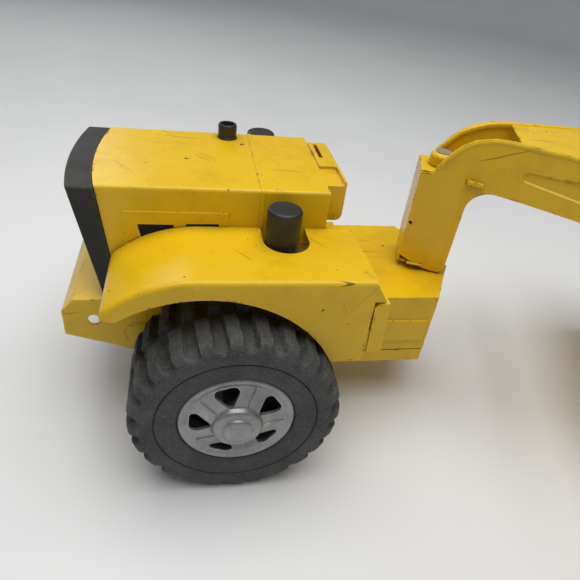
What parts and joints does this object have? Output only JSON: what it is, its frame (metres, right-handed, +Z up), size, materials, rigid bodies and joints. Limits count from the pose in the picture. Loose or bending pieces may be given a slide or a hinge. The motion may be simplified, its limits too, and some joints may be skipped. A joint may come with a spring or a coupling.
{
  "type": "toy motor scraper",
  "caption": "Pressed-steel toy earthmoving scraper: single-axle tractor steered under a gooseneck, bowl with lifting apron and sliding ejector.",
  "frame": {"origin": "on the ground under the king pin", "axes": "+X forward along the bowl, +Y to the left, +Z up"},
  "size_m": [0.7096, 0.2877, 0.1992],
  "materials": {
    "yellow_enamel": "glossy chrome-yellow enamel, scratched and chipped",
    "charcoal_enamel": "satin charcoal enamel, dusty",
    "silver_paint": "satin silver paint",
    "tyre_rubber": "worn dusty rubber",
    "black_plastic": "matt black plastic",
    "zinc_steel": "dull zinc plate"
  },
  "bodies": {
    "gooseneck": {"gooseneck_side_left": "yellow_enamel", "gooseneck_side_right": "yellow_enamel", "gooseneck_top_plate": "yellow_enamel", "gooseneck_post_plate": "yellow_enamel", "gooseneck_foot_plate": "yellow_enamel", "gooseneck_brace": "yellow_enamel", "yoke_cross_tube": "yellow_enamel", "draft_arm_left": "yellow_enamel", "draft_arm_right": "yellow_enamel"},
    "tractor": {"chassis_frame": "yellow_enamel", "chassis_nose": "yellow_enamel", "chassis_bottom_pan": "yellow_enamel", "hood_shell": "yellow_enamel", "grille_shell": "charcoal_enamel", "grille_bars": "charcoal_enamel", "dash_panel": "yellow_enamel", "vent_backing": "charcoal_enamel", "fender_left": "yellow_enamel", "fender_right": "yellow_enamel", "fender_rear_plate_left": "yellow_enamel", "fender_rear_plate_right": "yellow_enamel", "air_cleaner_left": "black_plastic", "air_cleaner_right": "black_plastic", "air_cleaner_shelves": "yellow_enamel", "exhaust_stub": "black_plastic", "front_axle": "zinc_steel", "front_axle_spacers": "zinc_steel", "king_pin": "yellow_enamel", "king_pin_washer": "zinc_steel"},
    "bowl": {"bowl_side_left": "yellow_enamel", "bowl_side_right": "yellow_enamel", "bowl_floor": "yellow_enamel", "cutting_edge": "yellow_enamel", "bowl_rear_plate": "yellow_enamel", "rear_beam_left": "yellow_enamel", "rear_beam_right": "yellow_enamel", "push_block": "yellow_enamel", "rear_axle": "zinc_steel", "rear_axle_spacers": "zinc_steel", "draft_arm_pins": "zinc_steel", "apron_pins": "zinc_steel"},
    "apron": {"apron_gate": "yellow_enamel", "apron_arm_left": "yellow_enamel", "apron_arm_right": "yellow_enamel", "apron_lever_knob": "black_plastic"},
    "ejector": {"ejector_plate": "yellow_enamel", "ejector_push_rod": "zinc_steel", "ejector_knob": "black_plastic"},
    "front_left_wheel": {"front_tyre_left": "tyre_rubber", "front_rim_left": "silver_paint", "front_hub_cap_left": "silver_paint"},
    "front_right_wheel": {"front_tyre_right": "tyre_rubber", "front_rim_right": "silver_paint", "front_hub_cap_right": "silver_paint"},
    "rear_left_wheel": {"rear_tyre_left": "tyre_rubber", "rear_rim_left": "silver_paint", "rear_hub_cap_left": "silver_paint"},
    "rear_right_wheel": {"rear_tyre_right": "tyre_rubber", "rear_rim_right": "silver_paint", "rear_hub_cap_right": "silver_paint"}
  },
  "joints": [
    {"name": "steering", "type": "hinge", "parent": "gooseneck", "child": "tractor", "pos_m": [0, 0, 0.1], "axis": [0, 0, 1], "range_deg": [-79, 41]},
    {"name": "front_left_spin", "type": "hinge", "parent": "tractor", "child": "front_left_wheel", "pos_m": [0.10053, 0.12425, 0.06], "axis": [-0.3256, 0.9455, 0], "continuous": true},
    {"name": "front_right_spin", "type": "hinge", "parent": "tractor", "child": "front_right_wheel", "pos_m": [0.15571, -0.03602, 0.06], "axis": [-0.3256, 0.9455, 0], "continuous": true},
    {"name": "bowl_lift", "type": "hinge", "parent": "gooseneck", "child": "bowl", "pos_m": [-0.266, 0, 0.06], "axis": [0, -1, 0], "range_deg": [0, 12]},
    {"name": "rear_left_spin", "type": "hinge", "parent": "bowl", "child": "rear_left_wheel", "pos_m": [-0.412, 0.08475, 0.06], "axis": [0, 1, 0], "continuous": true},
    {"name": "rear_right_spin", "type": "hinge", "parent": "bowl", "child": "rear_right_wheel", "pos_m": [-0.412, -0.08475, 0.06], "axis": [0, 1, 0], "continuous": true},
    {"name": "apron_lift", "type": "hinge", "parent": "bowl", "child": "apron", "pos_m": [-0.263, 0, 0.095], "axis": [0, -1, 0], "range_deg": [0, 50]},
    {"name": "ejector_push", "type": "slide", "parent": "bowl", "child": "ejector", "axis": [1, 0, 0], "range_m": [0, 0.09]}
  ]
}
